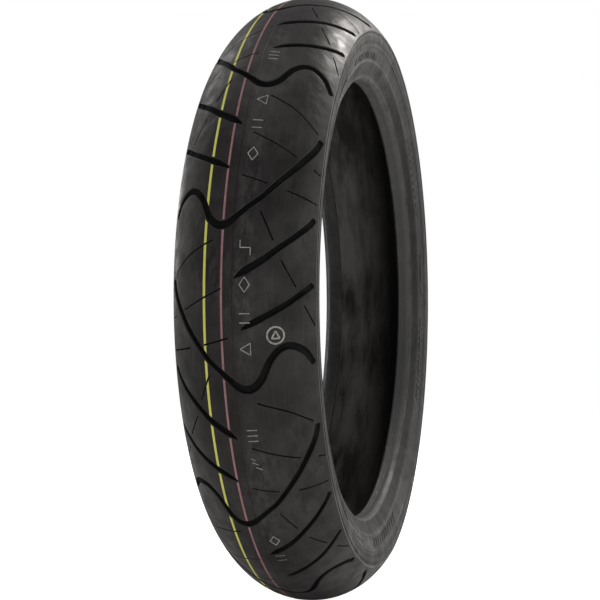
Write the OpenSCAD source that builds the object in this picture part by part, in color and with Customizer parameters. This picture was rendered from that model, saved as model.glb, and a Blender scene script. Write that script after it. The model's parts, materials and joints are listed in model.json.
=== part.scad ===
// Front motorcycle tire, 120/70 section on a 17 inch rim, built up from the pieces that are cured together.
// The axle runs along Y, +Z is up, and the origin is the wheel's centre.
// Sections are drawn as [across, radius] points: across the tire, and out from the axle.

/* [Overall] */
// Radius of the tire at the middle of the tread
tire_r = 300; // [298:0.5:303]
// Radius of the crown arc across the tread
crown_r = 73; // [71:0.5:75]
// Radius of the bead seat, half of the 17 inch rim's 436.6
seat_r = 218.3; // [218.1:0.1:218.5]
// Width of the cylindrical land of each bead seat
seat_len = 7.5; // [6.5:0.5:8]
// Distance of the middle of each seat from the middle of the tire
seat_y = 39; // [38.5:0.25:39.5]

/* [Layers] */
// Thickness of the tread rubber above its base
tread_t = 5; // [4.8:0.1:5.5]
// Thickness of the tread base
base_t = 1.6; // [1.2:0.1:2]
// Thickness of the spiral belt
belt_t = 1.4; // [1:0.1:1.8]
// Thickness of one carcass ply
ply_t = 0.7; // [0.5:0.1:0.8]
// Thickness of the inner liner
liner_t = 1; // [0.8:0.1:1.3]

/* [Sidewall] */
// Radius of the outer sidewall arc
side_r = 80; // [78:0.5:82]
// Half of the tire's width
half_w = 61.6; // [61:0.1:62]
// Radius at which the sidewall is widest
side_mid = 265; // [264:0.5:266]
// Radius of the line between the sidewall and the rim strip
rim_line = 230; // [229.5:0.25:230.5]

/* [Bead] */
// Distance of each bead core from the middle of the tire
bead_y = 42.3; // [41.8:0.1:42.6]
// Radius of the bundle of wires in its rubber
bundle_r = 2.6; // [2.5:0.05:2.7]
// Thickness of the fabric wrapped round the bundle
wrap_t = 0.45; // [0.3:0.05:0.45]
// Thickness of the rim strip under the bead
chafer_t = 1.3; // [1.2:0.1:1.5]
// Diameter of one bead wire
wire_d = 0.96; // [0.85:0.01:0.98]

/* [Tread pattern] */
// Times that the pattern repeats round the tire
pitches = 7; // [7:1:7]
// Depth of the main grooves at the middle of the tread
groove_depth = 4.2; // [3.5:0.1:4.4]
// Width of a sipe
sipe_w = 1.1; // [0.9:0.1:1.4]
// Depth of a sipe
sipe_depth = 3.2; // [2:0.1:4]

/* [Stripes] */
// Place of the yellow stripe across the tread, in degrees of the crown arc
yellow_at = 19.3; // [19:0.1:20]
// Place of the pink stripe across the tread, in degrees of the crown arc
pink_at = 6.6; // [6.2:0.1:7]
// Thickness of the painted stripes and stamps
paint_t = 0.12; // [0.08:0.01:0.2]

/* [Hidden] */
left = 1;
right = -1;
round_fn = 240;
// centre of the crown arc
crown_c = [0, tire_r - crown_r];
// angles across the crown where the compounds, the belt and the carcass change
split_a = 25;
belt_a = 50;
carcass_a = 52.5;
edge_a = 57.7;
base_a = 56;
yellow_half = 0.95;
pink_half = 0.75;
// radii of the crown arcs, from the tread down to the liner
base_r = crown_r - tread_t;
belt_r = base_r - base_t;
ply_r = belt_r - belt_t;
carcass_r = ply_r - 2 * ply_t;
// the carcass line: crown arc, side arc, straight flank, a turn round the bead core, then the turn-up
side_in_r = 21;
side_in_c = crown_c + (carcass_r - side_in_r) * [sin(carcass_a), cos(carcass_a)];
loop_r = bundle_r + 0.5 + 2 * ply_t;
bead_c = [bead_y, seat_r + chafer_t + loop_r];
side_c = [half_w - side_r, side_mid];
flank_turn = acos((side_in_r + loop_r) / norm(bead_c - side_in_c));
flank_a = atan2(bead_c[1] - side_in_c[1], bead_c[0] - side_in_c[0]) + flank_turn;
turnup_r = norm(bead_c - side_c) + loop_r;
turnup_a = atan2(bead_c[1] - side_c[1], bead_c[0] - side_c[0]);
// angles on the sidewall arc where the inner ply, the outer ply and the rim strip end
inner_ply_end = asin((241 - side_mid) / turnup_r);
outer_ply_end = asin((235 - side_mid) / turnup_r);
chafer_end = asin((rim_line - side_mid) / side_r);
filler_tip_a = -8;
shoulder_a = 25;
// bead seat: a cylindrical land between the toe and the flare up to the heel
toe_r = 1.2;
toe_c = [seat_y - seat_len / 2, seat_r + toe_r];
heel_flare = [[seat_y + seat_len / 2, seat_r], [44.6, seat_r + 0.3], [46.3, seat_r + 0.8]];
// moulded outlines of the sidewall and the rim strip: a radius, and how far out from the sidewall arc
wall_lines = [[266.1, 0], [265.4, 0.1], [264.8, 0], [264.2, -0.6], [262.9, -0.9], [261.6, -0.6], [260.8, 0],
  [256, 0], [251.5, -0.15], [250.9, 0.2], [250.2, 0.1], [249.5, -0.4], [247, -0.85],
  [243.5, -1.15], [239.5, -1.1], [237.2, -0.7], [236.5, -0.15], [235.4, -0.05], [234.6, -0.4],
  [233.4, -0.9], [231.8, -1.1]];
strip_lines = [[219.9, 0.1], [220.5, 0.6], [221.2, 0.8], [221.9, 0.65], [222.6, 0.1], [223.8, -0.6],
  [225.6, -1.05], [228, -1.2]];
// end of the inner liner on the straight flank, beside the bead core
ply_at_liner_end = bead_c - loop_r * heading(flank_a);
liner_end = ply_at_liner_end - liner_t * heading(flank_a);

function steps(from, to, count) = [for (i = [0:count]) from + (to - from) * i / count];
function flip(list) = [for (i = [len(list) - 1:-1:0]) list[i]];
function heading(a) = [cos(a), sin(a)];
// points on an arc, at angles from the across direction towards the radius
function arc(c, r, angles) = [for (a = angles) c + r * heading(a)];
// points on a crown arc, at angles from the middle of the tread
function crown(r, angles) = [for (a = angles) crown_c + r * [sin(a), cos(a)]];

// angles shared by layers that touch, so that their faces meet exactly
layer_angles = steps(0, belt_a, 10);
edge_angles = [53, base_a];
side_angles = concat([31], steps(shoulder_a, filler_tip_a, 5));
flank_angles = steps(filler_tip_a, flank_a, 5);
turn_angles = steps(flank_a + 180, 360 + turnup_a, 14);
up_ends = [[turnup_a + 2, chafer_end], [chafer_end, outer_ply_end], [outer_ply_end, inner_ply_end]];
up_angles = [for (pair = up_ends) steps(pair[0], pair[1], 2)];

// vertices of the tread surface, with one at each edge of a stripe or stamp
stamp_angles = [-12, -8.5, -5];
centre_angles = concat([-split_a, -20.5, -16], stamp_angles, [0, pink_at - pink_half, pink_at + pink_half,
  11, 15, yellow_at - yellow_half, yellow_at + yellow_half, split_a]);
split_angles = [for (a = layer_angles) if (a <= split_a) a];
shoulder_angles = steps(split_a, edge_a, 8);

// end face of the tread layers, from the tread's edge down to the carcass
edge_point = crown(crown_r, [edge_a])[0];
carcass_point = side_in_c + (side_in_r + 2 * ply_t) * heading(shoulder_a);
function end_face(t) = edge_point + (carcass_point - edge_point) * t;
// a place on the sidewall at a radius, and how far out from its arc
function on_side(r, out) = side_c + (side_r + out) * heading(asin((r - side_mid) / side_r));
rim_point = on_side(rim_line, -1.15);
base_end = end_face(0.62);
belt_end = end_face(0.82);

// the carcass line moved outwards by h: down from the crown, round the bead core, and up again
function carcass_down(h) = concat(
  crown(carcass_r + h, concat(layer_angles, [carcass_a])),
  arc(side_in_c, side_in_r + h, concat(side_angles, flank_angles)));
function carcass_turn(h) = arc(bead_c, loop_r - h, turn_angles);
function carcass_up(h, part) = arc(side_c, turnup_r - h, up_angles[part]);
// the short turn-up ends beside the bead filler, and the long one above it
function carcass_line(h, long) =
  concat(carcass_down(h), carcass_turn(h), carcass_up(h, 0), carcass_up(h, 1),
    long ? carcass_up(h, 2) : []);

// ---- solids of revolution ----
module ring(points, side = left) {
  rotate([-90, 0, 0])
    rotate_extrude($fn = round_fn)
      polygon([for (p = points) [p[1], side * p[0]]]);
}

// a patch of the tread surface, between two angles across it and two angles round the tire
module patch(across, from, sweep, t) {
  rotate([-90, 0, 0])
    rotate([0, 0, 180 + from])
      rotate_extrude(angle = sweep, $fn = round_fn)
        polygon([for (p = concat(crown(crown_r + t, across), flip(crown(crown_r, across)))) [p[1], p[0]]]);
}

// ---- tread pattern: [across, round] places in millimetres, measured on the tread surface ----
// the right half of one repeat; the left half is its mirror image, half a repeat further round
pitch = 2 * PI * tire_r / pitches;
pattern_start = -92.6;
wave_groove = [[-72, 13, 5.6], [-69, 17.5, 5.8], [-62, 27, 6.2], [-54, 32.5, 6.3], [-46, 34.5, 6.2],
  [-38, 31.5, 5.9], [-31, 24, 5.7], [-26.5, 15.5, 5.8], [-22, 7, 6.2], [-15.5, 1, 6.8], [-9, 0, 6.8],
  [-3, 2.5, 6], [4, 8.5, 4.8], [13, 16.5, 4.3], [22, 24, 4.3], [30, 33, 4.5], [38, 42.5, 4.9],
  [46, 52, 5.3], [54, 63, 5.7], [61.5, 74, 6], [66.5, 84, 6], [68.8, 91.5, 5.6]];
long_slant = [[-2.5, 91, 1], [-6.5, 94, 4], [-12, 97.5, 6.2], [-20, 102.5, 5.9], [-28, 108, 5.4],
  [-39.5, 117.5, 5], [-49.5, 125.5, 4.9], [-59.5, 134.5, 5.1], [-66, 141, 5.2], [-70.5, 148, 4.8]];
short_slant = [[-8, 49.5, 1], [-12, 51.8, 3.6], [-18, 55, 5.2], [-26, 59, 5.2], [-34.5, 63.5, 5],
  [-47, 70.5, 4.8], [-59.5, 79, 5], [-68, 85, 5.2], [-72, 88, 4.8]];
sipe_lines = [[[-4, 177], [-25, 171]], [[-42.5, 167], [-70.5, 161]], [[-64.5, 193.5], [-72, 190.5]],
  [[-22, 146], [-33, 123]], [[-40.5, 106], [-53.5, 84.5]], [[-61.5, 68], [-72.5, 49]],
  [[-9.5, 217], [-47.5, 200]], [[-18, 257], [-43, 246], [-64, 231.1]]];
// short enough steps along a line for its rings to follow the round of the tread
longest_step = 10;
function divided(line) = [for (i = [0:len(line) - 1])
  each i == 0 ? [line[0]] :
    let (step = line[i] - line[i - 1], count = ceil(norm([step[0], step[1]]) / longest_step))
    [for (k = [1:count]) line[i - 1] + step * k / count]];
sipes = [for (line = sipe_lines) [for (p = line) [p[0], p[1], sipe_w]]];

// a point h above the tread surface
function on_tread(s, l, h) =
  let (a = s / crown_r * 180 / PI, b = l / tire_r * 180 / PI,
       r = crown_c[1] + (crown_r + h) * cos(a))
  [-r * cos(b), (crown_r + h) * sin(a), r * sin(b)];
// the part of a line that crosses the tread between two places
function between(line, low, high) =
  let (last = len(line) - 1)
  [for (i = [0:last])
    let (before = i > 0 ? line[i - 1][0] : line[i][0], after = i < last ? line[i + 1][0] : line[i][0])
    if (max(before, line[i][0], after) > low && min(before, line[i][0], after) < high) line[i]];
function mirrored(line) = [for (p = line) [-p[0], p[1] + pitch / 2, p[2]]];

// sweeps a tapered slot along a line and the four corners of each ring follow the tread's curve
module slot(line, depth) {
  last = len(line) - 1;
  corners = [for (i = [0:last])
    let (p = line[i],
         ahead = line[min(i + 1, last)] - line[max(i - 1, 0)],
         across = [-ahead[1], ahead[0]] / norm([ahead[0], ahead[1]]))
    for (c = [[-0.56, 1.5], [0.56, 1.5], [0.4, -depth], [-0.4, -depth]])
      on_tread(p[0] + across[0] * c[0] * p[2], p[1] + across[1] * c[0] * p[2], c[1])];
  walls = [for (i = [0:last - 1], k = [0:3])
    let (a = 4 * i + k, b = 4 * i + (k + 1) % 4)
    each [[a, b + 4, b], [a, a + 4, b + 4]]];
  ends = [[0, 1, 2], [0, 2, 3],
    [4 * last, 4 * last + 2, 4 * last + 1], [4 * last, 4 * last + 3, 4 * last + 2]];
  polyhedron(corners, concat(walls, ends));
}

module slots(lines, depth, low, high) {
  for (line = lines, half = [line, mirrored(line)]) {
    used = between(divided(half), low, high);
    if (len(used) > 1)
      for (k = [0:pitches - 1])
        slot([for (p = used) [p[0], p[1] + pattern_start + k * pitch, p[2]]], depth);
  }
}

module grooves(low, high) {
  slots([wave_groove, long_slant, short_slant], groove_depth, low, high);
  slots(sipes, sipe_depth, low, high);
}

function across_mm(a) = a * crown_r * PI / 180;

// ---- sub-parts ----
module tread_centre() {
  color([0.2, 0.2, 0.2])
    difference() {
      ring(concat(
        crown(crown_r, centre_angles),
        flip(crown(base_r, split_angles)), crown(base_r, -split_angles)));
      grooves(-across_mm(split_a), across_mm(split_a));
    }
}

module tread_shoulder(side) {
  reach = [side * across_mm(split_a), side * across_mm(edge_a + 2)];
  color([0.24, 0.24, 0.24])
    difference() {
      ring(concat(crown(crown_r, shoulder_angles), [base_end],
        flip(crown(base_r, concat([for (a = layer_angles) if (a >= split_a) a], edge_angles)))), side);
      grooves(min(reach), max(reach));
    }
}

module tread_base() {
  top = concat(crown(base_r, concat(layer_angles, edge_angles)), [base_end]);
  bottom = concat(crown(belt_r, concat(layer_angles, edge_angles)), [belt_end]);
  half = concat(top, flip(bottom));
  color([0.16, 0.16, 0.16])
    union() {
      ring(half, left);
      ring(half, right);
    }
}

module spiral_belt() {
  angles = concat(flip(-layer_angles), layer_angles);
  color([0.55, 0.45, 0.25])
    ring(concat(crown(belt_r, angles), flip(crown(ply_r, angles))));
}

module belt_cushion(side) {
  color([0.14, 0.14, 0.14])
    ring(concat(
      crown(belt_r, concat([belt_a], edge_angles)), [belt_end],
      flip(arc(side_in_c, side_in_r + 2 * ply_t, [90 - carcass_a, side_angles[0], shoulder_a])),
      crown(ply_r, [belt_a])), side);
}

module carcass_ply(inside, outside, long) {
  half = concat(carcass_line(outside, long), flip(carcass_line(inside, long)));
  union() {
    ring(half, left);
    ring(half, right);
  }
}

module carcass_ply_outer() {
  color([0.6, 0.5, 0.3])
    carcass_ply(ply_t, 2 * ply_t, false);
}

module carcass_ply_inner() {
  color([0.65, 0.55, 0.35])
    carcass_ply(0, ply_t, true);
}

// the liner stops where the rim strip takes over, beside the bead core
module inner_liner() {
  half = concat(carcass_down(-liner_t), [liner_end, ply_at_liner_end], flip(carcass_down(0)));
  color([0.09, 0.09, 0.09])
    union() {
      ring(half, left);
      ring(half, right);
    }
}

module sidewall(side) {
  color([0.18, 0.18, 0.18])
    ring(concat(
      [edge_point], [for (p = wall_lines) on_side(p[0], p[1])], [rim_point],
      carcass_up(0, 1), carcass_up(0, 2), [side_c + (turnup_r - ply_t) * heading(inner_ply_end)],
      flip(arc(side_in_c, side_in_r + 2 * ply_t, steps(shoulder_a, filler_tip_a, 5))),
      [belt_end, base_end]),
      side);
}

module bead_filler(side) {
  color([0.12, 0.12, 0.12])
    ring(concat(
      arc(side_in_c, side_in_r + 2 * ply_t, flank_angles),
      arc(bead_c, loop_r - 2 * ply_t, steps(flank_a + 180, turnup_a, 12)),
      carcass_up(2 * ply_t, 0), carcass_up(2 * ply_t, 1), carcass_up(ply_t, 2)),
      side);
}

module at_bead(side) {
  rotate([-90, 0, 0])
    rotate_extrude($fn = round_fn)
      translate([bead_c[1], side * bead_c[0]])
        children();
}

// nineteen wires packed in a hexagon, with a thin coat of rubber between them
module wire_places() {
  gap = wire_d + 0.04;
  for (row = [-2:2], i = [0:4 - abs(row)])
    translate([row * gap * sin(60), (i - (4 - abs(row)) / 2) * gap])
      circle(d = wire_d, $fn = 8);
}

module bead_wrap(side) {
  color([0.5, 0.45, 0.35])
    at_bead(side)
      difference() {
        circle(r = bundle_r + wrap_t, $fn = 12);
        circle(r = bundle_r, $fn = 12);
      }
}

module bead_rubber(side) {
  color([0.1, 0.1, 0.1])
    at_bead(side)
      difference() {
        circle(r = bundle_r, $fn = 12);
        wire_places();
      }
}

module bead_wire(side) {
  color([0.7, 0.62, 0.4])
    at_bead(side)
      wire_places();
}

module chafer(side) {
  color([0.13, 0.13, 0.13])
    ring(concat(
      [ply_at_liner_end, liner_end, [toe_c[0] - toe_r, toe_c[1] + 1.5]],
      arc(toe_c, toe_r, steps(180, 270, 4)),
      heel_flare, [for (p = strip_lines) on_side(p[0], p[1])], [rim_point],
      flip(carcass_up(0, 0)),
      flip(carcass_turn(0))),
      side);
}

// where the line from one point to the next crosses a place on the tread
function crossing(from, to, place) = from[1] + (to[1] - from[1]) * (place - from[0]) / (to[0] - from[0]);

// a box that stands on the tread along a line, as long and as wide as the gap it leaves in a stripe
module gap_box(from, to, place, turn) {
  l = crossing(from, to, place) + turn;
  translate(on_tread(place, l, 0))
    rotate([0, l / tire_r * 180 / PI, 0])
      rotate([0, 0, -place / crown_r * 180 / PI])
        rotate([90 - atan2(to[1] - from[1], to[0] - from[0]), 0, 0])
          cube([6, from[2] * 1.1, 30], center = true);
}

// a painted stripe round the tread, left out where a groove or a sipe crosses it
module stripe(at, half) {
  place = across_mm(at);
  across = [at - half, at + half];
  difference() {
    ring(concat(crown(crown_r + paint_t, across), flip(crown(crown_r, across))));
    for (line = concat([wave_groove, long_slant, short_slant], sipes), half_line = [line, mirrored(line)])
      for (i = [1:len(half_line) - 1])
        if ((half_line[i - 1][0] - place) * (half_line[i][0] - place) < 0)
          for (k = [0:pitches - 1])
            gap_box(half_line[i - 1], half_line[i], place, pattern_start + k * pitch);
  }
}

module stripe_yellow() {
  color([0.75, 0.78, 0.25])
    stripe(yellow_at, yellow_half);
}

module stripe_pink() {
  color([0.75, 0.5, 0.55])
    stripe(pink_at, pink_half);
}

// plain stamped bars beside the middle of the tread, placed by their angle round the tire
module tread_stamps() {
  places = [-52.7, -47.6, -30.6, -25.4, -11.3, -6.5, -1.3, 4.4, 19.9, 25.4, 30.4, 41];
  bar = 0.9;
  color([0.85, 0.87, 0.88])
    for (at = places, k = [-1, 0, 1])
      patch(stamp_angles, -(at + k * 1.4 * bar) - bar / 2, bar, paint_t);
}

tread_centre();
tread_shoulder(left);  // tread_shoulder_left
tread_shoulder(right);  // tread_shoulder_right
tread_base();
spiral_belt();
belt_cushion(left);  // belt_cushion_left
belt_cushion(right);  // belt_cushion_right
carcass_ply_outer();
carcass_ply_inner();
inner_liner();
sidewall(left);  // sidewall_left
sidewall(right);  // sidewall_right
bead_filler(left);  // bead_filler_left
bead_filler(right);  // bead_filler_right
bead_wrap(left);  // bead_wrap_left
bead_wrap(right);  // bead_wrap_right
bead_rubber(left);  // bead_rubber_left
bead_rubber(right);  // bead_rubber_right
bead_wire(left);  // bead_wire_left
bead_wire(right);  // bead_wire_right
chafer(left);  // chafer_left
chafer(right);  // chafer_right
stripe_yellow();
stripe_pink();
tread_stamps();
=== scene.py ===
import json
import math

import bmesh
import bpy
import numpy as np
from mathutils import Matrix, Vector
from mathutils.geometry import delaunay_2d_cdt


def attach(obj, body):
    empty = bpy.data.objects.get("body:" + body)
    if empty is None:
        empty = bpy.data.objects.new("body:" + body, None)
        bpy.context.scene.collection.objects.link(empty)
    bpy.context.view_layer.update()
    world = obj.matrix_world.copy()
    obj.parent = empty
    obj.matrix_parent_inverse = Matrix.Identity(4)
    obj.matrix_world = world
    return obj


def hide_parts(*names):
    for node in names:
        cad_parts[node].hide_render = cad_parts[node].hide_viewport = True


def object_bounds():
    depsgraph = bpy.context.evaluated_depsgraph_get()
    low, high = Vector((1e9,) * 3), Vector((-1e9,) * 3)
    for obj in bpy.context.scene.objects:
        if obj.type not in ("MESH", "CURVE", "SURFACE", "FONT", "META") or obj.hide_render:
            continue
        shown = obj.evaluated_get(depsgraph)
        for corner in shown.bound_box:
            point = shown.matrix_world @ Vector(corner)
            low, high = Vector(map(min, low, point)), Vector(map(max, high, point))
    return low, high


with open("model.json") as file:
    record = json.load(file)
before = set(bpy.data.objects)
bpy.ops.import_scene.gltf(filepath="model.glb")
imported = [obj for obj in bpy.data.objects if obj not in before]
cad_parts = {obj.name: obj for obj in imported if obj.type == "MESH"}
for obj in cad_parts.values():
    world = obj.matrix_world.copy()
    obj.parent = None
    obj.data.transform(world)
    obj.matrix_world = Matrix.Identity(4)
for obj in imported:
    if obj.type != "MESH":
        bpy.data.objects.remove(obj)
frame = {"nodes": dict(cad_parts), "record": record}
cad_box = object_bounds()
seat_mount = frame["record"]["mounts"][0]
MM = 0.001

# ---------------------------------------------------------------- sizes, in millimetres
tire_r = round(1000 * cad_box[1][0])
crown_r = 73.0
crown_c = tire_r - crown_r
seat_r = seat_mount["dims"]["r_mm"]
seat_len = seat_mount["dims"]["length_mm"]
seat_y = 1000 * abs(seat_mount["pos_m"][1])
# angles on the crown arc of the line between the tread's compounds and of the tread's edge
split_a, edge_a = 25, 57.7
split_s = math.radians(split_a) * crown_r
half_tread = math.radians(edge_a) * crown_r
tread_t = 5.0
pitches = 7
pitch = 2 * math.pi * tire_r / pitches
# how far round the tread from its front the first repeat starts
pattern_start = -92.6
LEFT, RIGHT = 1, -1


def heading(a):
    """A unit step at an angle in degrees from the across direction."""
    return np.array([math.cos(math.radians(a)), math.sin(math.radians(a))])


def arc(centre, radius, start, end, count):
    """Points [across, radius] on an arc, at angles from the across direction."""
    return [np.array(centre) + radius * heading(a) for a in np.linspace(start, end, count + 1)]


# ---------------------------------------------------------------- mesh helpers
def new_object(name, verts, faces, material, smooth=None):
    """A mesh object from points in metres, smooth but for edges sharper than that many degrees."""
    mesh = bpy.data.meshes.new(name)
    mesh.from_pydata([tuple(v) for v in verts], [], faces)
    mesh.validate()
    obj = bpy.data.objects.new(name, mesh)
    bpy.context.scene.collection.objects.link(obj)
    mesh.materials.append(material)
    mesh.shade_smooth()
    if smooth is not None:
        mesh.set_sharp_from_angle(angle=math.radians(smooth))
    return obj


def finished(obj, slot, *replaced):
    """Puts a piece on the tire's body in place of the CAD nodes that it stands for."""
    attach(obj, "root")
    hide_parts(*replaced)


def turned(points, side, angle):
    """Points [across, radius] swung round the axle to an angle in degrees, up from the front of the tread."""
    p = np.array(points, float)
    t = math.radians(angle)
    return np.column_stack([-p[:, 1] * math.cos(t), side * p[:, 0], p[:, 1] * math.sin(t)]) * MM


def revolved(profile, side, angles):
    """A closed outline swept round the axle: its points and its faces, facing out."""
    rings = [turned(profile(a) if callable(profile) else profile, side, a) for a in angles]
    n, count = len(rings[0]), len(rings)
    faces = []
    for i in range(count):
        a, b = i * n, ((i + 1) % count) * n
        for j in range(n):
            k = (j + 1) % n
            quad = (a + j, a + k, b + k, b + j)
            faces.append(quad if side == LEFT else quad[::-1])
    return np.vstack(rings), faces


def joined(parts):
    """Several lots of points and faces as one."""
    verts, faces, base = [], [], 0
    for v, f in parts:
        verts.append(v)
        faces += [tuple(i + base for i in face) for face in f]
        base += len(v)
    return np.vstack(verts), faces


# ---------------------------------------------------------------- tread pattern
# Lines are [across, round] places in millimetres on the tread, with the groove's width as a third number.
# The right half of one repeat is drawn. The left half is its mirror image, half a repeat further round.
wave_groove = [[-69.2, 16.8, 5.6], [-62, 27, 6.2], [-54, 32.5, 6.3], [-46, 34.5, 6.2], [-38, 31.5, 5.9],
    [-31, 24, 5.7], [-26.5, 15.5, 5.8], [-22, 7, 6.2], [-15.5, 1, 6.8], [-9, 0, 6.8], [-3, 2.5, 6],
    [4, 8.5, 4.8], [13, 16.5, 4.3], [22, 24, 4.3], [30, 33, 4.5], [38, 42.5, 4.9], [46, 52, 5.3],
    [54, 63, 5.7], [61.5, 74, 6], [66.2, 83.5, 6], [68.4, 90.5, 5.6]]
long_slant = [[-2.5, 91, 1], [-6.5, 94, 4], [-12, 97.5, 6.2], [-20, 102.5, 5.9], [-28, 108, 5.4],
    [-39.5, 117.5, 5], [-49.5, 125.5, 4.9], [-59.5, 134.5, 5.1], [-66, 141, 5.2], [-69, 145.5, 5]]
short_slant = [[-8, 49.5, 1], [-12, 51.8, 3.6], [-18, 55, 5.2], [-26, 59, 5.2], [-34.5, 63.5, 5],
    [-47, 70.5, 4.8], [-59.5, 79, 5], [-66, 83.6, 5.2], [-69.4, 86, 5]]
# thin cuts that lie between one wave groove and the next
sipes = [[[25, 36.4], [4, 42.4]], [[-42.5, 167], [-70.5, 161]], [[-64.5, 193.5], [-71.6, 190.6]],
    [[-22, 146], [-33, 123]], [[-40.5, 106], [-53.5, 84.5]], [[-61.5, 68], [-71.8, 50]],
    [[9.5, 82.4], [47.5, 65.4]], [[18, 122.4], [43, 111.4], [64, 96.5]]]
groove_depth, sipe_depth, sipe_w = 4.2, 3.2, 1.1
# A slot's loops from its rounded lip down to its floor. Each has a share of half the width and millimetres
# added to that, then a share of the depth and millimetres taken off that.
groove_levels = [(1, 0.75, 0, 0), (1, 0.32, 0, -0.12), (1, 0.02, 0, -0.5), (0.86, 0, 1, 0.75),
    (0.66, 0, 1, 0)]
sipe_levels = [(1, 0.3, 0, 0), (1, 0.02, 0, -0.3), (0.8, 0, 1, 0.25), (0.45, 0, 1, 0)]
# least width of a slot
narrowest = 0.8
# points round each rounded end of a slot, and how far the end bulges, as a share of half the width
cap_points = 7
groove_cap, sipe_cap = 0.6, 1.0
# steps along the slots, and between the points of the land
line_step, land_step = 2.5, 3.8


def on_tread(s, l, h):
    """Points in metres, at places across and round the tread and a height above its surface."""
    a, t = s / crown_r, l / tire_r
    r = crown_c + (crown_r + h) * np.cos(a)
    return np.stack([-r * np.cos(t), (crown_r + h) * np.sin(a), r * np.sin(t)], axis=-1) * MM


def off_tread(s, l):
    """The direction straight out of the tread."""
    a, t = s / crown_r, l / tire_r
    return np.stack([-np.cos(a) * np.cos(t), np.sin(a), np.cos(a) * np.sin(t)], axis=-1)


def smooth_line(points, step=None, count=None):
    """A smooth curve through the points, in steps of about that many millimetres, or that many to a span."""
    p = np.array(points, float)
    p = np.vstack([2 * p[0] - p[1], p, 2 * p[-1] - p[-2]])
    out = []
    for a, b, c, d in zip(p, p[1:], p[2:], p[3:]):
        steps = count or max(1, round(math.dist(b[:2], c[:2]) / step))
        for t in np.arange(steps) / steps:
            out.append(0.5 * (2 * b + (c - a) * t + (2 * a - 5 * b + 4 * c - d) * t ** 2
                + (3 * b - a - 3 * c + d) * t ** 3))
    return np.array(out + [p[-2]])


def slot_sides(line, depth, levels, cap):
    """A slot's walls and floor: points [across, round, height], faces, and how many points a loop has."""
    centre, half = line[:, :2], np.maximum(line[:, 2], narrowest) / 2
    n, m = len(line), cap_points
    ahead = np.gradient(centre, axis=0)
    ahead /= np.linalg.norm(ahead, axis=1)[:, None]
    side = np.column_stack([-ahead[:, 1], ahead[:, 0]])
    turn = math.pi * np.arange(1, m + 1)[:, None] / (m + 1)
    verts = []
    for share, extra, deep, less in levels:
        reach = half * share + extra
        height = -(deep * depth - less)
        end = centre[-1] + reach[-1] * (np.cos(turn) * side[-1] + cap * np.sin(turn) * ahead[-1])
        start = centre[0] - reach[0] * (np.cos(turn) * side[0] + cap * np.sin(turn) * ahead[0])
        there, back = centre + side * reach[:, None], (centre - side * reach[:, None])[::-1]
        heights = np.concatenate([height, np.full(m, height[-1]), height[::-1], np.full(m, height[0])])
        verts.append(np.column_stack([np.vstack([there, end, back, start]), heights]))
    verts.append(np.column_stack([centre, -depth]))
    size = 2 * (n + m)
    faces = []
    for k in range(len(levels) - 1):
        for i in range(size):
            j = (i + 1) % size
            faces.append((k * size + j, k * size + i, (k + 1) * size + i, (k + 1) * size + j))
    floor, mid = (len(levels) - 1) * size, len(levels) * size
    for i in range(n - 1):
        other = floor + 2 * n + m - 1 - i
        faces.append((mid + i, mid + i + 1, floor + i + 1, floor + i))
        faces.append((other, other - 1, mid + i + 1, mid + i))
    for first, hub in ((n - 1, mid + n - 1), (2 * n + m - 1, mid)):
        for j in range(m + 1):
            faces.append((hub, floor + (first + j + 1) % size, floor + (first + j) % size))
    return np.vstack(verts), faces, size


def inside(points, loop):
    """Which points lie inside a closed loop."""
    x, y = points[:, :1], points[:, 1:2]
    a, b = loop, np.roll(loop, -1, axis=0)
    rise = (b[:, 1] - a[:, 1])[None]
    rise = np.where(abs(rise) < 1e-12, 1e-12, rise)
    crosses = (a[None, :, 1] > y) != (b[None, :, 1] > y)
    at = (b[:, 0] - a[:, 0])[None] * (y - a[None, :, 1]) / rise + a[None, :, 0]
    return (crosses & (x < at)).sum(axis=1) % 2 == 1


def flat_land(border, holes, step):
    """Triangles over the land inside the border and outside the holes, with a grid of points between."""
    row_height, clear = 0.87 * step, 0.42 * step
    loops = [border] + holes
    rim = np.vstack(loops)
    low, high = border.min(axis=0), border.max(axis=0)
    grid = []
    for row, l in enumerate(np.arange(low[1], high[1], row_height)):
        for s in np.arange(low[0] + (row % 2) * step / 2, high[0], step):
            grid.append((s, l))
    grid = np.array(grid)
    keep = inside(grid, border)
    for hole in holes:
        keep &= ~inside(grid, hole)
    grid = grid[keep]
    near = np.array([((rim - g) ** 2).sum(axis=1).min() for g in grid])
    grid = grid[near > clear ** 2]
    points = np.vstack([rim, grid])
    edges, base = [], 0
    for loop in loops:
        edges += [(base + i, base + (i + 1) % len(loop)) for i in range(len(loop))]
        base += len(loop)
    made, _, faces, came_from, _, _ = delaunay_2d_cdt([tuple(p) for p in points], edges, [], 0, 1e-6)
    places = np.array([points[c[0]] if c else tuple(v) for v, c in zip(made, came_from)])
    tris = np.array(faces)
    mid = places[tris].mean(axis=1)
    keep = inside(mid, border)
    for hole in holes:
        keep &= ~inside(mid, hole)
    a, b, c = (places[tris[:, k]] for k in range(3))
    area = (b[:, 0] - a[:, 0]) * (c[:, 1] - a[:, 1]) - (b[:, 1] - a[:, 1]) * (c[:, 0] - a[:, 0])
    tris = np.where(area[:, None] > 0, tris, tris[:, ::-1])[keep & (abs(area) > 1e-9)]
    return np.column_stack([places, np.zeros(len(places))]), [tuple(int(i) for i in t) for t in tris]


def run_out(s):
    """Share of a groove's depth that is left at a place across the tread: half of it at the edges."""
    full_to, over, lost = 57, 12, 0.5
    share = np.clip((abs(s) - full_to) / over, 0, 1)
    return 1 - lost * share ** 2 * (3 - 2 * share)


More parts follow.
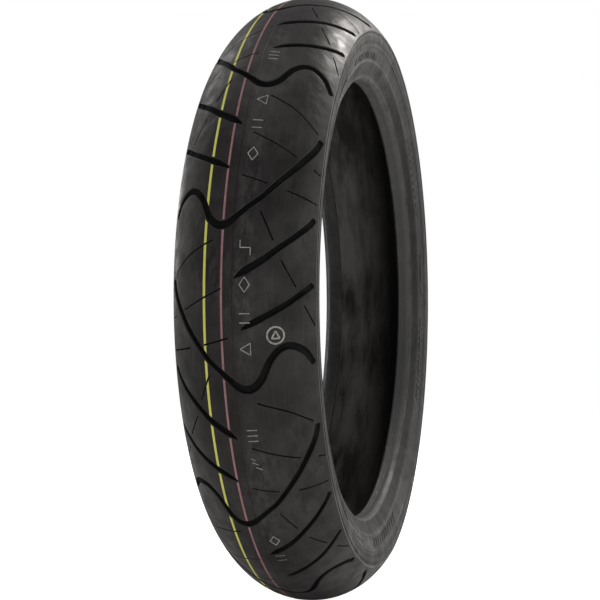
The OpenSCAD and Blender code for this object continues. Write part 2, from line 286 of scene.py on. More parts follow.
def tread_cell():
    """The land and the slots from one wave groove up to the next, laid out flat."""
    wave = smooth_line(wave_groove, line_step)
    depth = groove_depth * run_out(wave[:, 0])
    wave_verts, wave_faces, size = slot_sides(wave, depth, groove_levels, groove_cap)
    slots, holes = [(wave_verts, wave_faces)], []
    mid = (cap_points - 1) // 2
    start, end = size - cap_points + mid, len(wave) + mid
    upper = list(range(start, size)) + list(range(0, end + 1))
    lower = list(range(start, end - 1, -1))
    rim = wave_verts[:size, :2]
    first, last = rim[start], rim[end]
    this_wave, next_wave = wave_verts[upper, :2], rim[lower] * [-1, 1] + [0, pitch / 2]
    right = [(half_tread, l) for l in np.linspace(last[1], first[1] + pitch / 2, 12)]
    left = [(-half_tread, l) for l in np.linspace(last[1] + pitch / 2, first[1], 50)]
    border = np.vstack([this_wave, right, next_wave, left])
    # the slants have a low bar across their floor near the tread's edge
    bar_s, bar_half, bar_rise = -64, 1.6, 0.3
    for line in (long_slant, short_slant):
        curve = smooth_line(line, line_step)
        depth = np.minimum(groove_depth, 0.9 + curve[:, 2]) * run_out(curve[:, 0])
        bar = np.exp(-((curve[:, 0] - bar_s) / bar_half) ** 4)
        verts, faces, size = slot_sides(curve, depth * (1 - bar_rise * bar), groove_levels, groove_cap)
        slots.append((verts, faces))
        holes.append(verts[:size, :2])
    for line in sipes:
        curve = smooth_line([p + [sipe_w] for p in line], line_step)
        verts, faces, size = slot_sides(curve, np.full(len(curve), sipe_depth), sipe_levels, sipe_cap)
        slots.append((verts, faces))
        holes.append(verts[:size, :2])
    land = flat_land(border, holes, land_step)
    return land, joined([land] + slots)


def cut_across(verts, faces, places):
    """A flat mesh cut along lines that run round the tread, as points and faces in the bands between them."""
    bm = bmesh.new()
    made = [bm.verts.new(v) for v in verts]
    for face in faces:
        bm.faces.new([made[i] for i in face])
    for s in places:
        bmesh.ops.bisect_plane(bm, geom=bm.verts[:] + bm.edges[:] + bm.faces[:], dist=1e-5,
            plane_co=(s, 0, 0), plane_no=(1, 0, 0))
    bands = []
    for low, high in zip([-1e3] + places, places + [1e3]):
        used, band = {}, []
        for face in bm.faces:
            if low < face.calc_center_median().x < high:
                band.append(tuple(used.setdefault(v, len(used)) for v in face.verts))
        bands.append((np.array([v.co for v in used], float).reshape(-1, 3), band))
    bm.free()
    return bands


def round_tread(same, mirrored):
    """A band of the flat cell and one to be mirrored, repeated right round the tire: points and faces."""
    parts = []
    for k in range(pitches):
        verts, faces = same
        parts.append((verts + [0, pattern_start + k * pitch, 0], [f[::-1] for f in faces]))
        verts, faces = mirrored
        parts.append((verts * [-1, 1, 1] + [0, pattern_start + (k + 0.5) * pitch, 0], faces))
    return joined(parts)


def tread_solid(name, flat, faces, under, material):
    """A closed solid from a flat map of its top, slots and all, with its underside at a given height."""
    mesh = bpy.data.meshes.new(name)
    mesh.from_pydata([tuple(v) for v in on_tread(*flat.T)], [], faces)
    for axis, key in enumerate("slh"):
        layer = mesh.attributes.new(key, "FLOAT", "POINT")
        layer.data.foreach_set("value", flat[:, axis].astype(np.float32))
    bm = bmesh.new()
    bm.from_mesh(mesh)
    bmesh.ops.remove_doubles(bm, verts=bm.verts[:], dist=2e-6)
    bmesh.ops.dissolve_degenerate(bm, dist=1e-6, edges=bm.edges[:])
    layers = [bm.verts.layers.float[key] for key in "slh"]
    bm.verts.index_update()
    flat = np.array([[v[layer] for layer in layers] for v in bm.verts])
    top = [tuple(v.index for v in f.verts) for f in bm.faces]
    rim = []
    for edge in bm.edges:
        if len(edge.link_faces) == 1:
            loop = edge.link_loops[0]
            rim.append((loop.vert.index, loop.link_loop_next.vert.index))
    places = np.array([v.co for v in bm.verts])
    bm.free()
    bpy.data.meshes.remove(mesh)

    n = len(flat)
    below = on_tread(flat[:, 0], flat[:, 1], np.full(n, under))
    bottom = [tuple(i + n for i in f[::-1]) for f in top]
    walls = [(b, a, a + n, b + n) for a, b in rim]
    obj = new_object(name, np.vstack([places, below]), top + bottom + walls, material)
    mesh = obj.data

    # the land takes the crown's own normals, and the slots the average of their faces
    out = off_tread(flat[:, 0], flat[:, 1])
    total = np.zeros((n, 3))
    for f in top:
        p = places[list(f)]
        face_normal = np.cross(p[1] - p[0], p[2] - p[0])
        if len(f) == 4:
            face_normal += np.cross(p[2] - p[0], p[3] - p[0])
        for i in f:
            total[i] += face_normal
    total /= np.maximum(np.linalg.norm(total, axis=1), 1e-20)[:, None]
    top_normal = np.where(flat[:, 2:3] > -1e-4, out, total)
    loops = []
    for f in top:
        loops += [tuple(top_normal[i]) for i in f]
    for f in bottom:
        loops += [tuple(-out[i - n]) for i in f]
    for a, b in rim:
        p = np.cross(places[a] - places[b], below[a] - places[a])
        loops += [tuple(p / max(np.linalg.norm(p), 1e-20))] * 4
    sharp = {(min(a, b) + k, max(a, b) + k) for a, b in rim for k in (0, n)}
    for edge in mesh.edges:
        a, b = edge.vertices
        edge.use_edge_sharp = (min(a, b), max(a, b)) in sharp
    mesh.normals_split_custom_set(loops)
    return obj


# ---------------------------------------------------------------- sections of the casing, as [across, radius]
side_r, side_in_r = 80.0, 21.0
base_t, belt_t, ply_t, liner_t = 1.6, 1.4, 0.7, 1.0
# radius of the plies' loop round the bead, and of the rounded toe
loop_r, toe_r = 4.5, 1.2
side_c = np.array([-18.4, 265.0])
bead_c = np.array([42.3, seat_r + 5.8])
base_r = crown_r - tread_t
belt_r = base_r - base_t
carcass_r = belt_r - belt_t - 2 * ply_t
# where the crown's arc meets the sidewall's inner arc, and where the tread's end face meets the casing
carcass_a, end_a = 52.5, 25


def crown(radius, a):
    """A point on a crown arc, at an angle from the middle of the tread."""
    return np.array([radius * math.sin(math.radians(a)), crown_c + radius * math.cos(math.radians(a))])


def side_angle(r, radius=side_r):
    """Where an arc about the sidewall's centre passes a radius from the axle."""
    return math.degrees(math.asin((r - side_c[1]) / radius))


side_in_c = crown(carcass_r - side_in_r, carcass_a)
turnup_r = math.dist(bead_c, side_c) + loop_r
turnup_a = math.degrees(math.atan2(bead_c[1] - side_c[1], bead_c[0] - side_c[0]))
flank_a = (math.degrees(math.acos((side_in_r + loop_r) / math.dist(bead_c, side_in_c)))
    + math.degrees(math.atan2(bead_c[1] - side_in_c[1], bead_c[0] - side_in_c[0])))
edge_point = crown(crown_r, edge_a)
end_face = side_in_c + (side_in_r + 2 * ply_t) * heading(end_a) - edge_point
ply_end = bead_c - loop_r * heading(flank_a)
liner_end = ply_end - liner_t * heading(flank_a)
toe_c = np.array([seat_y - seat_len / 2, seat_r + toe_r])
# radius of the line between the sidewall and the rim strip
rim_line = 230.0
# steps to each span of the moulded lines' curves
span_steps = 3


def on_side(r, out=0.0):
    """A point [across, radius] on the sidewall's arc, moved out from it."""
    return side_c + (side_r + out) * heading(side_angle(r))


rim_point = on_side(rim_line, -1.15)
# radius, and how far out from the sidewall's arc
wall_lines = [(266.1, 0), (265.4, 0.1), (264.8, 0), (264.2, -0.6), (262.9, -0.9), (261.6, -0.6), (260.8, 0),
    (256, 0), (251.5, -0.15), (250.9, 0.2), (250.2, 0.1), (249.5, -0.4), (247, -0.85), (243.5, -1.15),
    (239.5, -1.1), (237.2, -0.7), (236.5, -0.15), (235.4, -0.05), (234.6, -0.4), (233.4, -0.9), (231.8, -1.1)]
strip_lines = [(219.9, 0.1), (220.5, 0.6), (221.2, 0.8), (221.9, 0.65), (222.6, 0.1), (223.8, -0.6),
    (225.6, -1.05), (228, -1.2)]


def sidewall_section():
    """The sidewall from the tread's edge down its moulded lines to the rim strip, and back up the casing."""
    wall = [on_side(r, out) for r, out in wall_lines]
    outer = smooth_line([edge_point] + wall + [rim_point], count=span_steps)
    turnup_end = 241
    low_a, high_a = side_angle(rim_line), side_angle(turnup_end, turnup_r)
    inner = arc(side_c, turnup_r, low_a, high_a, 6) + [side_c + (turnup_r - ply_t) * heading(high_a)]
    inner += arc(side_in_c, side_in_r + 2 * ply_t, -8, end_a, 12)
    inner += [edge_point + end_face * share for share in (0.82, 0.62)]
    return [*outer, *inner]


def chafer_section():
    """The rim strip round the bead: toe, seat, flare, heel ridge and the hollow for the rim's flange."""
    # the seat has three fine lines cut in it
    first_line, line_gap, half_top, half_floor, line_depth = 1.7, 1.9, 0.35, 0.12, 0.16
    seat = []
    for k in range(3):
        y, floor_r = toe_c[0] + first_line + line_gap * k, seat_r + line_depth
        seat += [(y - half_top, seat_r), (y - half_floor, floor_r),
            (y + half_floor, floor_r), (y + half_top, seat_r)]
    flare = [(toe_c[0] + seat_len, seat_r), (44.6, seat_r + 0.3), (46.3, seat_r + 0.8)]
    wall = [on_side(r, out) for r, out in strip_lines] + [rim_point]
    toe = [toe_c + [-toe_r, 1.5]] + arc(toe_c, toe_r, 180, 270, 8)
    back_up = arc(side_c, turnup_r, side_angle(rim_line), turnup_a + 2, 3)
    loop = arc(bead_c, loop_r, 360 + turnup_a, flank_a + 180, 20)
    return [ply_end, liner_end, *toe, *seat, *smooth_line(flare + wall, count=span_steps), *back_up, *loop]


def liner_section(turn=0.0):
    """The liner round the cavity, with its lapped joint and the low ridges that the bladder pressed in it."""
    crown_angles = np.linspace(0, carcass_a, 24)
    side_angles = np.linspace(90 - carcass_a, flank_a, 27)[1:]
    count = len(crown_angles) + len(side_angles)
    # ridges and joint by share of the way from the middle to a bead, and the joint's place round the tire
    ridge_places, ridge_half, ridge_h = (-0.83, -0.62, -0.34, -0.08, 0.21, 0.47, 0.7, 0.88), 0.02, 0.16
    lap_at, lap_slant, lap_h = 201.5, 11.5, 0.45

    def half(depths, last):
        line = [crown(carcass_r - d, a) for d, a in zip(depths, crown_angles)]
        line += [side_in_c + (side_in_r - d) * heading(a) for d, a in zip(depths[len(line):], side_angles)]
        return line + [last]

    def depths(side):
        across = side * np.linspace(0, 1, count)
        ridges = sum(np.exp(-((across - at) / ridge_half) ** 2) for at in ridge_places)
        lap = np.clip(3 - 2.2 * abs(turn - lap_at - lap_slant * across), 0, 1) * (1 - abs(across)) ** 0.2
        return liner_t + ridge_h * ridges + lap_h * lap

    outer = half(np.zeros(count), ply_end)
    left, right = half(depths(1), liner_end), half(depths(-1), liner_end)
    return ([p * [-1, 1] for p in right[:0:-1]] + left
        + outer[::-1] + [p * [-1, 1] for p in outer[1:]])


def pad(radii, angles, top):
    """A small block moulded on the sidewall, from a four-sided plan up to a height on the sidewall's arc."""
    root = -1.6
    low, high = ([turned([on_side(r, out)], LEFT, t)[0] for r, t in zip(radii, angles)] for out in (root, top))
    faces = [(3, 2, 1, 0), (4, 5, 6, 7)] + [(i, (i + 1) % 4, (i + 1) % 4 + 4, i + 4) for i in range(4)]
    return np.array(low + high), faces


# ---------------------------------------------------------------- materials
class Shading:
    """A Principled material that is built up node by node, in the object's own coordinates."""

    def __init__(self, name, **constants):
        self.material = bpy.data.materials.new(name)
        self.material.use_nodes = True
        self.tree = self.material.node_tree
        self.shader = self.tree.nodes["Principled BSDF"]
        for key, value in constants.items():
            self.shader.inputs[key.replace("_", " ")].default_value = value
        self.place = self.add("ShaderNodeTexCoord").outputs["Object"]
        split = self.add("ShaderNodeSeparateXYZ", self.place)
        self.x, self.y, self.z = split.outputs

    def add(self, kind, *inputs, **settings):
        """A node with its first inputs linked to sockets or set to numbers."""
        node = self.tree.nodes.new(kind)
        for key, value in settings.items():
            setattr(node, key, value)
        for socket, value in zip(node.inputs, inputs):
            self.put(socket, value)
        return node

    def put(self, socket, value):
        """Links a socket, or sets its number; None leaves it as it is."""
        if isinstance(value, bpy.types.NodeSocket):
            self.tree.links.new(value, socket)
        elif value is not None:
            socket.default_value = value

    def math(self, operation, *inputs):
        return self.add("ShaderNodeMath", *inputs, operation=operation).outputs[0]

    def noise(self, scale, detail=3, rough=0.55, place=None, stretch=None):
        where = place or self.place
        if stretch:
            where = self.add("ShaderNodeMapping", where).outputs[0]
            where.node.inputs["Scale"].default_value = stretch
        node = self.add("ShaderNodeTexNoise")
        self.put(node.inputs["Vector"], where)
        node.inputs["Scale"].default_value = scale
        node.inputs["Detail"].default_value = detail
        node.inputs["Roughness"].default_value = rough
        return node.outputs[0]

    def span(self, value, low, high, to_low, to_high):
        """A value's range moved to another range, held at its ends."""
        return self.add("ShaderNodeMapRange", value, low, high, to_low, to_high).outputs[0]

    def mix(self, share, a, b):
        node = self.add("ShaderNodeMix", data_type="RGBA")
        self.put(node.inputs[0], share)
        self.put(node.inputs[6], a)
        self.put(node.inputs[7], b)
        return node.outputs[2]

    def radius(self):
        """Distance from the axle."""
        squares = self.math("ADD", self.math("MULTIPLY", self.x, self.x), self.math("MULTIPLY", self.z, self.z))
        return self.math("SQRT", squares)

    def round_place(self, along_y=1.0):
        """Coordinates that change round the tire and, more slowly or faster, across it, but not with radius."""
        r = self.radius()
        node = self.add("ShaderNodeCombineXYZ", self.math("DIVIDE", self.x, r),
            self.math("MULTIPLY", self.y, along_y), self.math("DIVIDE", self.z, r))
        return node.outputs[0]

    def below_tread(self):
        """How far a place is down into a groove, from 0 at the tread's surface to 1 at 1.2 mm below it."""
        start, end = 0.1, 1.2
        out = self.math("SUBTRACT", self.radius(), crown_c * MM)
        squares = self.math("ADD", self.math("MULTIPLY", self.y, self.y), self.math("MULTIPLY", out, out))
        return self.span(self.math("SQRT", squares), (crown_r - end) * MM, (crown_r - start) * MM, 1, 0)

    def near_line(self, y, full, none, share=1):
        """A share held within a distance of a line round the tire, in metres, that fades to 0 further off."""
        return self.span(self.math("ABSOLUTE", self.math("ADD", self.y, -y)), full, none, share, 0)

    def colour(self, socket):
        self.put(self.shader.inputs["Base Color"], socket)

    def roughness(self, socket):
        self.put(self.shader.inputs["Roughness"], socket)

    def bump(self, heights):
        """Bumps one over another, each a height and its depth in metres."""
        normal = None
        for height, depth in heights:
            node = self.add("ShaderNodeBump")
            node.inputs["Strength"].default_value = 1.0
            node.inputs["Distance"].default_value = depth
            self.put(node.inputs["Height"], height)
            self.put(node.inputs["Normal"], normal)
            normal = node.outputs[0]
        self.put(self.shader.inputs["Normal"], normal)
        return self.material


def grey(level, tint=(0, 0, 0)):
    """A grey with a little colour added to it."""
    return (level + tint[0], level + tint[1], level + tint[2], 1)


rubber_shine = 0.38


def tread_rubber(name, dark, light, rough):
    """Moulded tread rubber, mottled and powdered, with a parting line, painted highlights on the grooves' edges
    and painted shade in them.
    """
    m = Shading(name, Specular_IOR_Level=rubber_shine)
    cloudy = m.noise(14, 4, 0.6)
    streaks = m.noise(5, 5, 0.65, m.round_place(90.0))
    smudges = m.noise(55, 4, 0.55)
    patchy = m.math("ADD", m.math("MULTIPLY", cloudy, 0.45), m.math("MULTIPLY", streaks, 0.25))
    patchy = m.math("ADD", patchy, m.math("MULTIPLY", smudges, 0.3))
    colour = m.mix(m.span(patchy, 0.38, 0.62, 0, 1), dark, light)
    row = m.near_line(-0.0105, 0.004, 0.011, 0.16)
    patches = m.span(m.math("ADD", m.noise(8, 3, 0.6), row), 0.55, 0.72, 0, 1)
    grains = m.span(m.noise(60, 5, 0.75, stretch=(1, 2.2, 1)), 0.45, 0.62, 0, 1)
    powder = m.math("MULTIPLY", patches, grains)
    colour = m.mix(m.math("MULTIPLY", powder, 0.7), colour, grey(0.075, (0.002, 0, -0.002)))
    deep = m.below_tread()
    # painted highlight: the grooves' rounded edges are made paler, as if they caught the light
    edge = m.math("MULTIPLY", m.span(deep, 0.0, 0.06, 0, 1), m.span(deep, 0.3, 0.6, 1, 0))
    edge = m.math("MULTIPLY", edge, m.span(m.noise(30, 3, 0.6), 0.4, 0.6, 0.1, 0.7))
    colour = m.mix(edge, colour, grey(0.08))
    parting = m.near_line(-0.0005, 0.0002, 0.0007)
    colour = m.mix(m.math("MULTIPLY", parting, 0.7), colour, grey(0.005))
    # painted shade: the colour darkens to near black further down the grooves, where little light reaches
    m.colour(m.mix(m.span(deep, 0.3, 0.8, 0, 1), colour, grey(0.003)))
    sheen = m.math("ADD", m.noise(75, 4, 0.6), m.math("MULTIPLY", m.noise(17, 3, 0.6), 0.8))
    sheen = m.span(sheen, 0.7, 1.1, rough - 0.12, rough + 0.14)
    m.roughness(m.math("ADD", sheen, m.span(deep, 0.3, 0.8, 0, 0.4)))
    return m.bump([(m.noise(24, 3), 0.0014), (m.noise(95, 3), 0.0004), (m.noise(1500, 2), 0.00006),
        (m.math("SUBTRACT", 1.0, parting), 0.0002)])


def side_rubber(name, dark, light, rough, lines, painted_light_rings):
    """Moulded rubber, blotched and scuffed, with the fine rings left by the lathe that cut the mould.

    Painted light rings lie between two radii in millimetres, outside the toe: darker greys paint shade in
    hollows, paler greys paint highlights on ridges. Each has its share, its grey and its shine.
    """
    m = Shading(name, Specular_IOR_Level=rubber_shine)
    cloudy = m.noise(24, 4, 0.6)
    spots = m.noise(110, 4, 0.65)
    patchy = m.math("ADD", m.math("MULTIPLY", cloudy, 0.55), m.math("MULTIPLY", spots, 0.45))
    colour = m.mix(m.span(patchy, 0.4, 0.6, 0, 1), dark, light)
    scuffs = m.span(m.noise(45, 5, 0.75), 0.56, 0.7, 0, 0.7)
    colour = m.mix(scuffs, colour, grey(0.07))
    wander, soft_in, soft_out = 0.004, 0.8, 1
    ring_r = m.math("MULTIPLY", m.math("SUBTRACT", m.noise(30, 3), 0.5), wander)
    ring_r = m.math("ADD", m.radius(), ring_r)
    outside = m.span(m.math("ABSOLUTE", m.y), toe_c[0] * MM, (toe_c[0] + soft_in) * MM, 0, 1)
    shine = rubber_shine
    # painted light and shade: each ring mixes its own grey into the rubber over a band of radius
    for low, high, share, level, gloss in painted_light_rings:
        inner = m.span(ring_r, (low - soft_in) * MM, (low + soft_in) * MM, 0, share)
        outer = m.span(ring_r, (high - soft_out) * MM, (high + soft_out) * MM, 1, 0)
        painted_light_share = m.math("MULTIPLY", m.math("MULTIPLY", outside, inner), outer)
        colour = m.mix(painted_light_share, colour, grey(level))
        shine = m.math("ADD", shine, m.math("MULTIPLY", painted_light_share, gloss - rubber_shine))
    m.put(m.shader.inputs["Specular IOR Level"], shine)
    m.colour(colour)
    m.roughness(m.span(m.noise(60, 4), 0.3, 0.7, rough - 0.12, rough + 0.12))
    turned_rings = m.math("SINE", m.math("MULTIPLY", m.radius(), lines))
    return m.bump([(m.noise(34, 3), 0.0018), (m.noise(120, 3), 0.0005), (turned_rings, 0.00003),
        (m.noise(900, 2), 0.00008)])


def liner_rubber():
    """Butyl liner: dark, streaked round the tire, with a brownish bloom of dust, and painted light that makes
    it paler to the left and darker to the right.
    """
    m = Shading("liner_rubber", Specular_IOR_Level=0.2)
    streaks = m.noise(4, 4, 0.6, m.round_place(18.0))
    bloom = m.noise(7, 4, 0.6)
    patchy = m.math("ADD", m.math("MULTIPLY", streaks, 0.6), m.math("MULTIPLY", bloom, 0.4))
    # painted light and shade: the dust's paleness grows from the right side to the left, as light falls into
    # the opening
    dust_and_painted_light = m.math("MULTIPLY", m.span(patchy, 0.4, 0.6, 0.15, 1), m.span(m.y, -0.012, 0.03, 0.0, 1))
    m.colour(m.mix(dust_and_painted_light, grey(0.004, (0.001, 0.0005, 0)), grey(0.26, (0.014, 0.002, -0.012))))
    m.roughness(m.span(patchy, 0.38, 0.62, 0.4, 0.6))
    return m.bump([(streaks, 0.003), (m.noise(60, 3), 0.0005), (m.noise(500, 3), 0.0001)])


def paint(name, colour, worn):
    """A line of marking paint, thin enough in places for the rubber to show through."""
    m = Shading(name, Specular_IOR_Level=0.4)
    thin = m.math("MULTIPLY", m.noise(420, 3, 0.6), 0.4)
    thin = m.math("ADD", m.math("MULTIPLY", m.noise(60, 4, 0.7), 0.6), thin)
    m.colour(m.mix(m.span(thin, 0.44, 0.68, 0, 0.75), colour, worn))
    m.roughness(m.span(thin, 0.35, 0.65, 0.5, 0.75))
    return m.bump([(m.noise(700, 3), 0.00006)])


def fibre(name, dark, light, rough, lines, along, metallic=0.0):
    """Cord, fabric or wire hidden in the casing, with its threads lying one way."""
    m = Shading(name, Metallic=metallic)
    if along == "round":
        phase = m.math("MULTIPLY", m.y, lines)
    elif along == "radius":
        phase = m.math("MULTIPLY", m.radius(), lines)
    else:
        phase = m.math("MULTIPLY", m.math("ARCTAN2", m.z, m.x), lines)
    threads = m.math("SINE", phase)
    m.colour(m.mix(m.span(m.math("ADD", threads, m.noise(200, 3)), -0.4, 1.4, 0, 1), dark, light))
    m.roughness(m.span(m.noise(120, 3), 0.3, 0.7, rough - 0.08, rough + 0.08))
    return m.bump([(threads, 0.0001), (m.noise(800, 2), 0.00005)])


# ---------------------------------------------------------------- tread
centre_rubber = tread_rubber("tread_rubber",
    grey(0.007, (0.003, 0, 0.0005)), grey(0.034, (0.006, 0.001, 0.001)), 0.46)
edge_rubber = tread_rubber("shoulder_rubber",
    grey(0.007, (0.001, 0.001, 0)), grey(0.037, (0.002, 0.001, -0.002)), 0.44)
land, cell = tread_cell()
right_band, middle_band, left_band = cut_across(*cell, [-split_s, split_s])
for name, same, mirrored, rubber, slot in (
        ("tread_centre", middle_band, middle_band, centre_rubber, "tread_rubber"),
        ("tread_shoulder_left", left_band, right_band, edge_rubber, "shoulder_rubber"),
        ("tread_shoulder_right", right_band, left_band, edge_rubber, "shoulder_rubber")):
    flat, faces = round_tread(same, mirrored)
    finished(tread_solid(name + "_moulded", flat, faces, -tread_t, rubber), slot, name)

# ---------------------------------------------------------------- painted stripes and stamped marks
# heights of the paint above the tread, and how far its underside is sunk in the rubber
stripe_h, stamp_h, paint_under = 0.1, 0.09, -0.02
yellow_paint = paint("yellow_paint", (1.0, 1.0, 0.2, 1), (0.85, 0.88, 0.3, 1))
pink_paint = paint("pink_paint", (0.5, 0.26, 0.28, 1), (0.27, 0.15, 0.165, 1))
stamp_ink = paint("stamp_ink", (0.55, 0.55, 0.53, 1), (0.05, 0.05, 0.05, 1))
for name, low, high, material in (("yellow", 23.35, 25.75, yellow_paint), ("pink", 7.5, 9.35, pink_paint)):
    _, opposite, _, direct, _ = cut_across(*land, [-high, -low, low, high])
    flat, faces = round_tread(direct, opposite)
    flat[:, 2] = stripe_h
    stripe = tread_solid("stripe_" + name + "_line", flat, faces, paint_under, material)
    finished(stripe, name + "_paint", "stripe_" + name)


def stroke(points, width):
    """A pen stroke on the tread: a strip of that width along a line of [across, round] places."""
    p = np.array(points, float)
    p = smooth_line(p, 1.2) if len(p) > 2 else np.linspace(p[0], p[1], 9)
    ahead = np.gradient(p, axis=0)
    ahead /= np.linalg.norm(ahead, axis=1)[:, None]
    side = np.column_stack([-ahead[:, 1], ahead[:, 0]]) * width / 2
    n = len(p)
    flat = np.column_stack([np.vstack([p - side, p + side]), np.full(2 * n, stamp_h)])
    return flat, [(i + n, i + 1 + n, i + 1, i) for i in range(n - 1)]


# Each mark is one or more strokes in a box from -1 to 1 both ways. None of them is a letter or a figure.
marks = {
    "diamond": [[(0, -1), (1, 0)], [(1, 0), (0, 1)], [(0, 1), (-1, 0)], [(-1, 0), (0, -1)]],
    "bars": [[(-1, -0.6), (1, -0.6)], [(-1, 0.6), (1, 0.6)]],
    "three": [[(-1, -0.8), (1, -0.8)], [(-1, 0), (1, 0)], [(-1, 0.8), (1, 0.8)]],
    "peak": [[(-1, -0.8), (1, 0)], [(1, 0), (-1, 0.8)], [(-1, 0.8), (-1, -0.8)]],
    "steps": [[(-1, -1), (-1, 0)], [(-1, 0), (1, 0)], [(1, 0), (1, 1)]],
    "ticks": [[(-1, -0.9), (0.2, -0.5)], [(-0.4, -0.1), (0.8, 0.3)], [(0.1, 0.6), (1, 0.9)]],
}
# the marks' places round the tread
column = [(-276, "bars"), (-249, "diamond"), (-160, "ticks"), (-133, "three"), (-59, "peak"), (-34, "bars"),
    (-7, "diamond"), (23, "steps"), (104, "diamond"), (133, "bars"), (159, "peak"), (215, "three")]
column_s, mark_half, mark_pen = -11, np.array([4.2, 6.2]), 0.7
strokes = []
for place, kind in column:
    for line in marks[kind]:
        strokes.append(stroke([(column_s, place) + mark_half * p for p in line], mark_pen))
# a ring with a triangle in it
roundel, ring_half, ring_pen, triangle_pen = np.array([-35.75, -48.6]), 7, 1.4, 1.3
strokes.append(stroke([roundel + ring_half * heading(t) for t in np.linspace(0, 360, 25)], ring_pen))
corners = [(-3.4, -2.6), (3.4, -2.6), (0, 3.6)]
for a, b in zip(corners, corners[1:] + corners[:1]):
    strokes.append(stroke([roundel + a, roundel + b], triangle_pen))
flat, faces = joined(strokes)
stamps = tread_solid("tread_stamp_marks", flat, faces, paint_under, stamp_ink)
finished(stamps, "stamp_ink", "tread_stamps")

# ---------------------------------------------------------------- sidewalls, rim strips and liner
# the sidewall's rings: painted shade in the rim's hollow and beyond 253, painted highlights on the bands from
# 234.3 to 251 and on the tread's edge
wall_rubber = side_rubber("sidewall_rubber", grey(0.010), grey(0.038, (0.002, 0.001, -0.001)), 0.48, 9000,
    [(226, 233.5, 0.6, 0.01, 0.2), (234.3, 238, 0.4, 0.06, 0.5), (240, 251, 0.35, 0.05, 0.45),
    (253, 262, 0.3, 0.02, 0.3), (265.2, 270, 0.8, 0.2, 1.0)])
# the rim strips' rings: a painted highlight on the seat and toe, stronger on the right strip than on the left,
# and painted shade in the hollow from 223 to 240
strip_rubber_painted_light = {}
for name, seat_painted_highlight in (("left", (200, 220.8, 0.3, 0.04, 0.3)), ("right", (200, 220.8, 0.6, 0.12, 0.7))):
    strip_rubber_painted_light[name] = side_rubber(f"chafer_{name}_rubber", grey(0.009), grey(0.030, (0.001, 0, -0.001)),
        0.46, 14000, [seat_painted_highlight, (223, 240, 0.6, 0.01, 0.2)])
# edges of the sections that turn by more than this many degrees stay sharp
crease = 35
full_turn = np.linspace(0, 360, 481)[:-1]
wall_section, strip_section = sidewall_section(), chafer_section()


def sidewall_marks():
    """Plain blocks and bars moulded on the sidewall where a tire carries its markings."""
    blocks = []
    for turn in (0, 120, 240):
        for k in range(11):
            t = turn + 8 + 2.3 * k
            blocks.append(pad((238.9, 238.9, 247.0, 247.0), (t, t + 1.1, t + 2.0, t + 0.9), -0.55))
        for k in range(14):
            t = turn + 62 + 1.7 * k
            wide = 0.9 if k % 4 else 1.35
            blocks.append(pad((239.4, 239.4, 245.2, 245.2), (t, t + wide, t + wide, t), -0.5))
        blocks.append(pad((241.8, 241.8, 243.6, 243.6), (turn + 44, turn + 52, turn + 52, turn + 44), -0.75))
        blocks.append(pad((238.9, 242.7, 246.5, 242.7), (turn + 52, turn + 52, turn + 52, turn + 55.6), -0.75))
    for k in range(360):
        blocks.append(pad((254.2, 254.2, 257.0, 257.0), (k, k + 0.42, k + 0.42, k), 0.1))
    return joined(blocks)


def on_right(verts, faces):
    """The mirror image on the tire's right side."""
    return verts * [1, -1, 1], [f[::-1] for f in faces]


for side, name in ((LEFT, "left"), (RIGHT, "right")):
    made = sidewall_marks()
    made = joined([revolved(wall_section, side, full_turn), made if side == LEFT else on_right(*made)])
    wall = new_object(f"sidewall_{name}_moulded", *made, wall_rubber, crease)
    finished(wall, "sidewall_rubber", "sidewall_" + name)
    made = revolved(strip_section, side, full_turn)
    strip = new_object(f"chafer_{name}_moulded", *made, strip_rubber_painted_light[name], crease)
    finished(strip, "chafer_rubber", "chafer_" + name)

# finer steps where the liner's joint crosses it
turns = np.concatenate([np.arange(0, 186, 2), np.arange(186, 218, 0.4), np.arange(218, 360, 2)])
made = revolved(liner_section, LEFT, turns)
finished(new_object("inner_liner_lapped", *made, liner_rubber(), crease), "liner_rubber", "inner_liner")

# ---------------------------------------------------------------- hidden layers, which keep their CAD shapes
hidden = {
    "tread_base": fibre("base_rubber", grey(0.012), grey(0.022), 0.6, 900, "round"),
    "spiral_belt": fibre("belt_cord", (0.16, 0.10, 0.03, 1), (0.34, 0.24, 0.09, 1), 0.5, 5200, "round"),
    "belt_cushion": fibre("cushion_rubber", grey(0.011), grey(0.020), 0.62, 700, "round"),
    "carcass_ply": fibre("ply_fabric", (0.20, 0.15, 0.08, 1), (0.40, 0.33, 0.20, 1), 0.7, 1100, "across"),
    "bead_filler": fibre("filler_rubber", grey(0.010), grey(0.018), 0.6, 1500, "radius"),
    "bead_wrap": fibre("wrap_fabric", (0.22, 0.18, 0.12, 1), (0.42, 0.36, 0.26, 1), 0.75, 900, "across"),
    "bead_rubber": fibre("core_rubber", grey(0.010), grey(0.020), 0.55, 2200, "radius"),
    "bead_wire": fibre("bead_steel", (0.30, 0.22, 0.12, 1), (0.52, 0.41, 0.24, 1), 0.32, 700, "across", 0.9),
}
for name, node in frame["nodes"].items():
    for start, material in hidden.items():
        if name.startswith(start):
            node.data.materials.clear()
            node.data.materials.append(material)

# ---------------------------------------------------------------- floor, light and camera
bpy.ops.mesh.primitive_plane_add(size=14, location=(0, 0, cad_box[0][2]))
floor = bpy.context.object
floor.name = "floor"
pale = Shading("pale_floor")
pale.colour(pale.mix(pale.span(pale.noise(3, 2), 0.3, 0.7, 0, 1), grey(0.86), grey(0.9)))
pale.shader.inputs["Emission Color"].default_value = (1, 1, 1, 1)
seen = pale.math("MULTIPLY", pale.add("ShaderNodeLightPath").outputs["Is Camera Ray"], 0.95)
pale.put(pale.shader.inputs["Emission Strength"], seen)
pale.roughness(pale.span(pale.noise(8, 2), 0.3, 0.7, 0.8, 0.9))
floor.data.materials.append(pale.bump([(pale.noise(60, 2), 0.0002)]))

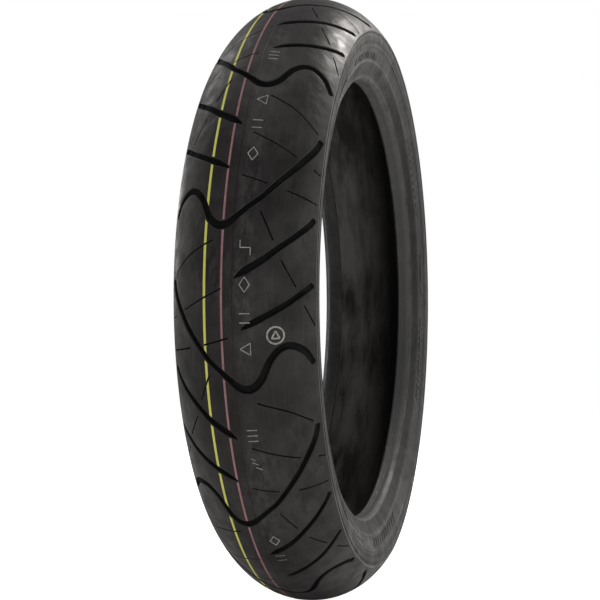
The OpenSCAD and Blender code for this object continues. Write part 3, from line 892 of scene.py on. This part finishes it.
world = bpy.data.worlds.new("studio")
world.use_nodes = True
sky, paths = world.node_tree.nodes["Background"], world.node_tree.nodes.new("ShaderNodeLightPath")
shade = world.node_tree.nodes.new("ShaderNodeMapRange")
world.node_tree.links.new(paths.outputs["Is Camera Ray"], shade.inputs["Value"])
shade.inputs["To Min"].default_value, shade.inputs["To Max"].default_value = 0.2, 1.0
world.node_tree.links.new(shade.outputs[0], sky.inputs["Strength"])
sky.inputs["Color"].default_value = (1, 1, 1, 1)
bpy.context.scene.world = world
bpy.context.scene.view_settings.view_transform = "Standard"


def matrix(across, up, back, place):
    """The matrix of a lamp or camera at a place, from its own three directions."""
    return Matrix([[across[i], up[i], back[i], place[i]] for i in range(3)] + [[0, 0, 0, 1]])


def softbox(name, place, aim, width, height, power):
    """A rectangular lamp that faces a point."""
    data = bpy.data.lights.new(name, "AREA")
    data.shape = "RECTANGLE"
    data.size, data.size_y = width, height
    data.energy = power
    data.color = (1.0, 0.96, 0.925)
    lamp = bpy.data.objects.new(name, data)
    lamp.visible_camera = False
    bpy.context.scene.collection.objects.link(lamp)
    back = np.array(place, float) - np.array(aim, float)
    back /= np.linalg.norm(back)
    across = np.cross((0, 0, 1), back)
    across /= np.linalg.norm(across)
    lamp.matrix_world = matrix(across, np.cross(back, across), back, place)


softbox("right", (0.0, -2.4, 0.3), (0, 0, 0), 1.6, 2.0, 12)
softbox("left", (0.2, 2.4, 0.2), (0, 0, 0), 1.2, 1.8, 4.5)
softbox("high_back_right", (1.16, -0.82, 1.52), (-0.15, -0.05, 0.22), 0.5, 0.5, 15)
softbox("high_back_left", (0.65, 1.35, 1.4), (-0.2, 0, 0.15), 0.8, 0.8, 4.6)
softbox("overhead", (-0.6, 0.1, 2.4), (0, 0, 0), 2.0, 2.0, 9.5)
softbox("right_back", (1.5, -1.7, 0.95), (0.1, 0, 0), 1.0, 0.6, 7)
softbox("front_low", (-1.7, -0.5, -0.1), (0, 0, -0.1), 1.2, 0.3, 2)
softbox("front_fill", (-1.5, -1.7, 0.5), (0, 0, 0), 0.8, 0.8, 1)
softbox("left_back", (1.6, 1.9, 0.45), (0, 0, 0), 0.6, 0.6, 5)
softbox("backdrop", (2.6, -0.4, 0.6), (0, 0, 0), 3.0, 2.2, 12)

# the camera looks at the tread from the front, turned towards the right sidewall
azimuth, elevation, roll = math.radians(-75.629), math.radians(-3.477), math.radians(0.701)
pan, tilt, distance = math.radians(1.045), math.radians(0.053), 1.3293
level = math.cos(elevation)
back = np.array([math.sin(azimuth) * level, -math.cos(azimuth) * level, math.sin(elevation)])
across = np.array([math.cos(azimuth), math.sin(azimuth), 0])
up = np.cross(back, across)
place = back * distance


def swung(a, b, angle):
    """Two directions at right angles, swung by an angle from the first towards the second."""
    return a * math.cos(angle) + b * math.sin(angle), b * math.cos(angle) - a * math.sin(angle)


back, across = swung(back, across, pan)
back, up = swung(back, up, tilt)
across, up = swung(across, up, roll)
camera = bpy.data.objects.new("camera", bpy.data.cameras.new("camera"))
camera.data.lens, camera.data.sensor_width = 78.1, 36
camera.data.clip_start, camera.data.clip_end = 0.05, 60
camera.matrix_world = matrix(across, up, back, place)
bpy.context.scene.collection.objects.link(camera)
bpy.context.scene.camera = camera
